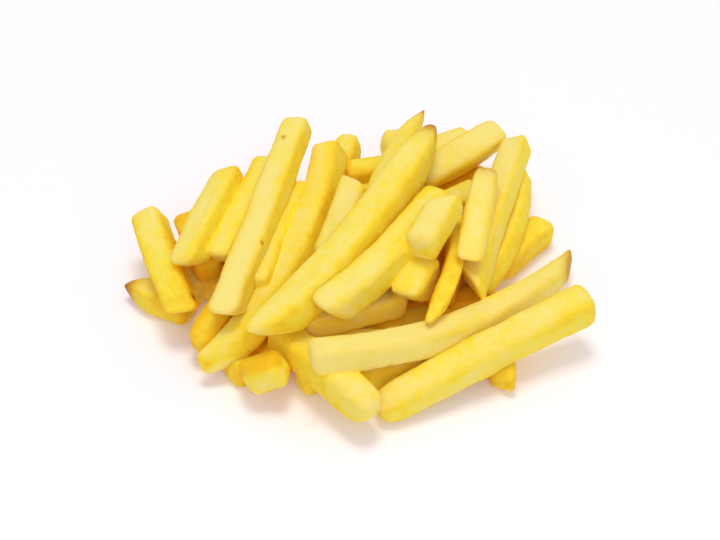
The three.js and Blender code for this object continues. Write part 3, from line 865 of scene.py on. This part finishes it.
def calculate(tree: Tree, operation: str, *values: object, clamp: bool = False) -> Socket:
    """Works out one value from two or three numbers or outputs, kept between 0 and 1 if clamp is true."""
    node = add_node(tree, "ShaderNodeMath", dict(enumerate(values)), operation=operation, use_clamp=clamp)
    return node.outputs[0]


def blend(tree: Tree, share: object, first: object, second: object) -> Socket:
    """Mixes two colours, given as values or outputs, by the share of the second."""
    return add_node(tree, "ShaderNodeMix", {0: share, 6: first, 7: second}, data_type="RGBA").outputs[2]


def spread(tree: Tree, value: object, least: float, most: float) -> Socket:
    """Spreads a pattern's value over the range from least to most."""
    low, high = MOSTLY
    inputs = {"Value": value, "From Min": low, "From Max": high, "To Min": least, "To Max": most}
    return add_node(tree, "ShaderNodeMapRange", inputs).outputs["Result"]


@dataclass(frozen=True)
class Pattern:
    """Uneven spots in the crust, which fade into each other.

    Attributes:
        scale: About how many spots there are on a millimetre.
        detail: How many finer layers lie over them.
        layer: How strong each finer layer is, as a share of the one before.
    """

    scale: float
    detail: float
    layer: float = 0.5

    def add(self, tree: Tree, place: Socket) -> Socket:
        """Adds the pattern and returns its value at the given place."""
        inputs = {"Vector": place, "Scale": self.scale, "Detail": self.detail, "Roughness": self.layer}
        return add_node(tree, "ShaderNodeTexNoise", inputs).outputs["Fac"]


MOSTLY = (0.3, 0.7)  # the range that most of a pattern's values lie in
PATCH_SPANS = (25, 7, 7)  # mm along, across and up a fry, since the fryer leaves patches along the grain
PATCH = Pattern(1.0, 3.0)  # over the patch spans
BLOTCH = Pattern(1 / 5, 2.0)  # where the crust holds more or less oil
MEAL = Pattern(1 / 2, 5.0, 0.65)  # a mealy speckle
PIMPLES = Pattern(1.1, 5.0, 0.65)  # pimples and a finer dry crumb


@dataclass(frozen=True)
class FriedCrust:
    """Fried potato: a thin dry crust over soft starch, which lets light in a few millimetres.

    The crust is matt with a trace of oil. It is pale where the potato was thick and wet, golden where it
    fried longer, deep gold along edges and brown at thin ends. Its golden and deep gold also stand in for
    shade: they are painted shade on the fries' sides, on fries that lie under others and in the crevices.

    Attributes:
        name: The material's name.
        pale: The least fried crust, at a tone of 0.
        golden: The well fried crust, at a tone of 1.
        deep: The crust that fried longest, at a tone of 2 and along edges. At a tone of 2 on fries in shade
            it is painted shade.
        brown: The darkest crust, at thin ends.
        shift: How much more golden than its tone the whole sort is.
        swings: The most that the patches, the blotches and the speckle change the tone.
        toasting: How many times sooner the crust turns deep gold than brown.
        roughness: How rough the crust is where it is oily and where it is mealy.
        refraction: How much it bends light.
        gleam: How much light its surface throws back, where 0.5 is usual.
        pimple_height: How far the pimples stand out, in mm.
        pimple_share: How much of that height shows.
        starch: Share of the light that goes into the starch.
        starch_depth: How far it gets there, in mm.
        starch_colours: How far red, green and blue light get, as shares of that.
    """

    name: str
    pale: str = "#fae982"
    golden: str = "#fae43c"
    deep: str = "#f7c51e"
    brown: str = "#a65e14"
    shift: float = 0.0
    swings: tuple[float, float, float] = (0.35, 0.3, 0.32)
    toasting: float = 2.5
    roughness: tuple[float, float] = (0.42, 0.62)
    refraction: float = 1.45
    gleam: float = 0.2
    pimple_height: float = 0.45
    pimple_share: float = 0.8
    starch: float = 0.9
    starch_depth: float = 2.0
    starch_colours: tuple[float, float, float] = (1.0, 0.85, 0.4)

    def build(self) -> bpy.types.Material:
        """Makes the material."""
        material = bpy.data.materials.new(self.name)
        material.use_nodes = True
        tree = material.node_tree
        tree.nodes.clear()
        own = add_node(tree, "ShaderNodeAttribute", attribute_name="own").outputs["Vector"]
        stretch = tuple(1 / span for span in PATCH_SPANS)
        stretched = add_node(tree, "ShaderNodeVectorMath", {0: own, 1: stretch}, operation="MULTIPLY")
        patterns = [PATCH.add(tree, stretched.outputs["Vector"]), BLOTCH.add(tree, own), MEAL.add(tree, own)]
        colour = self.tint(tree, patterns)
        height = PIMPLES.add(tree, own)
        relief = {"Height": height, "Distance": self.pimple_height * MM, "Strength": self.pimple_share}
        bump = add_node(tree, "ShaderNodeBump", relief)
        shader = add_node(
            tree, "ShaderNodeBsdfPrincipled",
            {
                "Base Color": colour, "Roughness": spread(tree, patterns[2], *self.roughness),
                "IOR": self.refraction, "Normal": bump.outputs["Normal"], "Specular IOR Level": self.gleam,
                "Subsurface Weight": self.starch, "Subsurface Radius": self.starch_colours,
                "Subsurface Scale": self.starch_depth * MM,
            },
            subsurface_method="BURLEY",
        )
        add_node(tree, "ShaderNodeOutputMaterial", {"Surface": shader.outputs["BSDF"]})
        return material

    def tint(self, tree: Tree, patterns: list[Socket]) -> Socket:
        """Works out the crust's colour from what each fry's points say and from the patterns.

        Args:
            tree: The node tree.
            patterns: The value of the patches, the blotches and the speckle.

        Returns:
            The colour.
        """
        tone, edge, brown = (
            add_node(tree, "ShaderNodeAttribute", attribute_name=name).outputs["Fac"]
            for name in ("tone", "edge", "brown")
        )
        patch, _, meal = patterns
        gold = calculate(tree, "ADD", tone, self.shift)
        for value, swing in zip(patterns, self.swings):
            gold = calculate(tree, "ADD", gold, spread(tree, value, -swing, swing))
        deep = linear(self.deep)
        # The tone brings painted shade with it, so the golden and deep gold here are partly painted shade.
        colour = blend(tree, gold, linear(self.pale), linear(self.golden))
        colour = blend(tree, calculate(tree, "SUBTRACT", gold, 1.0), colour, deep)
        colour = blend(tree, calculate(tree, "MULTIPLY", edge, patch), colour, deep)
        # Crust turns deep gold before it turns brown.
        burnt = calculate(tree, "MULTIPLY_ADD", brown, meal, brown, clamp=True)
        toasted = calculate(tree, "MULTIPLY", burnt, self.toasting, clamp=True)
        colour = blend(tree, toasted, colour, deep)
        return blend(tree, burnt, colour, linear(self.brown))


@dataclass(frozen=True)
class PaleTop:
    """A matt white acrylic sheet with a little light behind it, on which the heap lies.

    Attributes:
        name: The material's name.
        colour: The sheet's own colour.
        roughness: How matt it is.
        glow: The light that comes through it, as a strength.
        glow_colour: The colour of that light.
    """

    name: str = "matt_white_acrylic"
    colour: str = "#fbf9ff"
    roughness: float = 0.6
    glow: float = 0.06
    glow_colour: str = "#f4f6ff"

    def build(self) -> bpy.types.Material:
        """Makes the material."""
        material = bpy.data.materials.new(self.name)
        material.use_nodes = True
        shader = material.node_tree.nodes["Principled BSDF"]
        shader.inputs["Base Color"].default_value = linear(self.colour)
        shader.inputs["Roughness"].default_value = self.roughness
        shader.inputs["Emission Color"].default_value = linear(self.glow_colour)
        shader.inputs["Emission Strength"].default_value = self.glow
        return material


# ---- the heap


@dataclass
class Core:
    """The plain mass under the fries, a low dome with a flat base.

    Attributes:
        length: Its size along X, in mm.
        depth: Its size along Y.
        height: How high it stands.
        centre: The middle of its base.
        sides: Faces round it.
        tone: How golden it is.
    """

    length: float = 92.0
    depth: float = 76.0
    height: float = 10.0
    centre: tuple[float, float] = (0.0, -5.0)
    sides: int = 48
    tone: float = 0.9

    def build(self) -> bpy.types.Object:
        """Makes the dome: the upper half of a sphere, closed below."""
        dome = bmesh.new()
        bmesh.ops.create_uvsphere(dome, u_segments=self.sides, v_segments=self.sides // 2, radius=1)
        cut = bmesh.ops.bisect_plane(
            dome, geom=dome.verts[:] + dome.edges[:] + dome.faces[:], plane_co=(0, 0, 0), plane_no=(0, 0, 1),
            clear_inner=True,
        )
        rim = [item for item in cut["geom_cut"] if isinstance(item, bmesh.types.BMEdge)]
        bmesh.ops.edgeloop_fill(dome, edges=rim)
        size = (self.length / 2 * MM, self.depth / 2 * MM, self.height * MM)
        bmesh.ops.scale(dome, vec=size, verts=dome.verts)
        bmesh.ops.translate(dome, vec=(self.centre[0] * MM, self.centre[1] * MM, 0), verts=dome.verts)
        bmesh.ops.recalc_face_normals(dome, faces=dome.faces)
        return place_object("core", close_mesh("core", dome))

    def dress(self, piece: bpy.types.Object, crust: bpy.types.Material) -> None:
        """Gives the core the crust of the hidden fries around it, whose deeper gold is painted shade."""
        points = read_points(piece.data) / MM
        write_attribute(piece.data, "own", points)
        write_attribute(piece.data, "tone", np.full(len(points), self.tone))
        piece.data.materials.append(crust)


@dataclass
class Heap:
    """All the fries of the portion.

    Attributes:
        shape: How one fry is shaped.
        settling: How the heap settles.
        crusts: The finish of each sort of fry.
    """

    shape: FryShape = field(default_factory=FryShape)
    settling: Settling = field(default_factory=Settling)
    crusts: dict[Kind, FriedCrust] = field(
        default_factory=lambda: {
            Kind.PALE: FriedCrust("fried_potato_pale", shift=-0.05),
            Kind.GOLDEN: FriedCrust("fried_potato_golden"),
            # Most crisp fries lie in shade, so the deeper shift of this sort is partly painted shade.
            Kind.CRISP_AND_SHADED: FriedCrust("fried_potato_crisp_and_shaded", shift=0.1),
            # The hidden fries get a more orange deep gold: painted shade for the crevices between the fries.
            Kind.UNDER: FriedCrust("fried_potato_under_shaded", deep="#f4b01c", shift=0.05),
        }
    )

    def build(self) -> dict[Kind, bpy.types.Object]:
        """Makes every fry and joins those of each sort into one piece."""
        fries = SEEN + HIDDEN
        joints = self.settling.place(SEEN, HIDDEN)
        made: dict[Kind, list[bpy.types.Object]] = {kind: [] for kind in Kind}
        for number, fry in enumerate(fries):
            made[fry.kind].append(self.shape.build(fry, joints[number], number))
        return {kind: self.join(kind, pieces) for kind, pieces in made.items()}

    @staticmethod
    def join(kind: Kind, pieces: list[bpy.types.Object]) -> bpy.types.Object:
        """Joins the fries of one sort into one piece, named for the sort."""
        first = pieces[0]
        with bpy.context.temp_override(active_object=first, selected_editable_objects=pieces):
            bpy.ops.object.join()
        first.name = kind.value
        first.data.name = kind.value
        return first

    def dress(self, pieces: dict[Kind, bpy.types.Object]) -> dict[Kind, bpy.types.Material]:
        """Gives the piece of each sort its crust, and returns the crusts."""
        materials = {kind: crust.build() for kind, crust in self.crusts.items()}
        for kind, piece in pieces.items():
            piece.data.materials.append(materials[kind])
        return materials


# ---- the studio


@dataclass(frozen=True)
class Lamp:
    """A soft square lamp that faces the heap.

    Attributes:
        name: The lamp's name.
        place: Where it hangs, in metres.
        size: Its side, in metres.
        power: Its power in watts.
        colour: Its colour.
    """

    name: str
    place: Point
    size: float
    power: float
    colour: str

    def build(self) -> None:
        """Adds the lamp."""
        light = bpy.data.lights.new(self.name, "AREA")
        light.size = self.size
        light.energy = self.power
        light.color = linear(self.colour)[:3]
        piece = place_object(self.name, light)
        piece.location = self.place
        piece.rotation_euler = (-Vector(self.place)).to_track_quat("-Z", "Y").to_euler()


@dataclass
class Studio:
    """A pale surface under soft light, seen from the front and above.

    Attributes:
        floor_size: The surface's side, in metres.
        floor_drop: How far the surface lies below the heap, so that the two don't share a plane.
        lens: The camera's focal length, in mm.
        sensor: The camera's sensor width, in mm.
        nearest: How near to the camera a thing still shows, in metres.
        lamps: The lamps.
        sky: The light from all round, as a strength.
        sky_colour: Its colour.
        bounces: How often light goes on after it meets a surface.
        matt_bounces: How often of these a matt surface may send it on.
    """

    floor_size: float = 8.0
    floor_drop: float = 0.0001
    lens: float = 85.0
    sensor: float = 36.0
    nearest: float = 0.01
    lamps: tuple[Lamp, ...] = (
        Lamp("softbox", (-0.02, 0.1, 1.15), 0.36, 4.6, "#fffff4"),
        Lamp("fill", (0.3, -1.0, 0.8), 0.9, 2.5, "#ffffff"),
    )
    sky: float = 0.65
    sky_colour: str = "#fcf6ff"
    bounces: int = 16
    matt_bounces: int = 10

    def floor(self) -> None:
        """Adds the surface."""
        sheet = bmesh.new()
        bmesh.ops.create_grid(sheet, x_segments=1, y_segments=1, size=self.floor_size / 2)
        bmesh.ops.translate(sheet, vec=(0, 0, -self.floor_drop), verts=sheet.verts)
        piece = place_object("floor", close_mesh("floor", sheet))
        piece.data.materials.append(PaleTop().build())

    def camera(self) -> None:
        """Adds the camera at the front viewpoint."""
        data = bpy.data.cameras.new("camera")
        data.lens = self.lens
        data.sensor_width = self.sensor
        data.clip_start = self.nearest
        piece = place_object("camera", data)
        eye = Vector(VIEW.eye() * MM)
        piece.location = eye
        piece.rotation_euler = (Vector(VIEW.centre) * MM - eye).to_track_quat("-Z", "Y").to_euler()
        bpy.context.scene.camera = piece

    def build(self) -> None:
        """Makes the surface, the lamps, the light from all round and the camera."""
        scene = bpy.context.scene
        self.floor()
        for lamp in self.lamps:
            lamp.build()
        scene.cycles.max_bounces = self.bounces
        scene.cycles.diffuse_bounces = self.matt_bounces
        world = bpy.data.worlds.new("studio")
        world.use_nodes = True
        background = world.node_tree.nodes["Background"]
        background.inputs["Color"].default_value = linear(self.sky_colour)
        background.inputs["Strength"].default_value = self.sky
        scene.world = world
        scene.view_settings.view_transform = "Standard"
        self.camera()


# ---- the model


def main() -> None:
    """Builds the heap over its core, the studio around it, and reports each piece."""
    logging.basicConfig(level=logging.INFO, format="%(name)s: %(message)s")
    heap = Heap()
    pieces = heap.build()
    crusts = heap.dress(pieces)
    core = Core()
    dome = core.build()
    core.dress(dome, crusts[Kind.UNDER])
    for piece in (*pieces.values(), dome):
        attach(piece, BODY)
        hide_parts(NODE)
        LOG.info("%s: %d faces", piece.name, len(piece.data.polygons))
    Studio().build()


if __name__ == "__main__":
    main()
